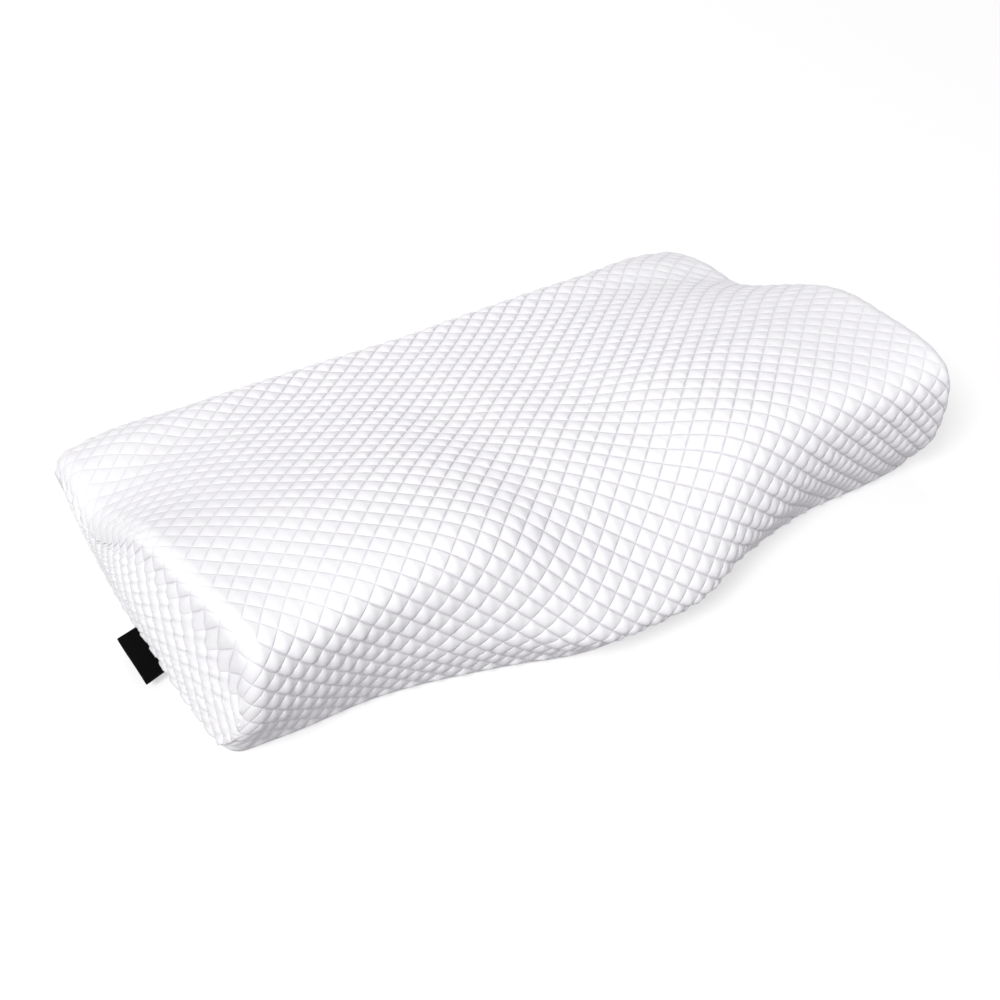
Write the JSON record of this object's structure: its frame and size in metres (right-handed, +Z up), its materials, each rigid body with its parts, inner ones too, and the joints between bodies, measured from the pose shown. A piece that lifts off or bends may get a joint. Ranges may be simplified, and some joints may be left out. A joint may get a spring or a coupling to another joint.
{
  "type": "cervical pillow",
  "caption": "Contoured neck pillow with raised wings, a rounded middle nose and a low back, in a diamond-relief knit cover with a side tape label.",
  "frame": {"origin": "on the underside, half way along the length, under the middle of the head slope", "axes": "+X along the length towards the end without the label, -Y towards the near (neck) side, +Z up from the flat underside"},
  "size_m": [0.6223, 0.3802, 0.1286],
  "materials": {
    "white_knit": "soft white relief knit of small faceted diamonds",
    "black_tape": "black woven tape, folded once"
  },
  "bodies": {
    "root": {"pillow": "white_knit", "side_label": "black_tape"}
  },
  "joints": []
}
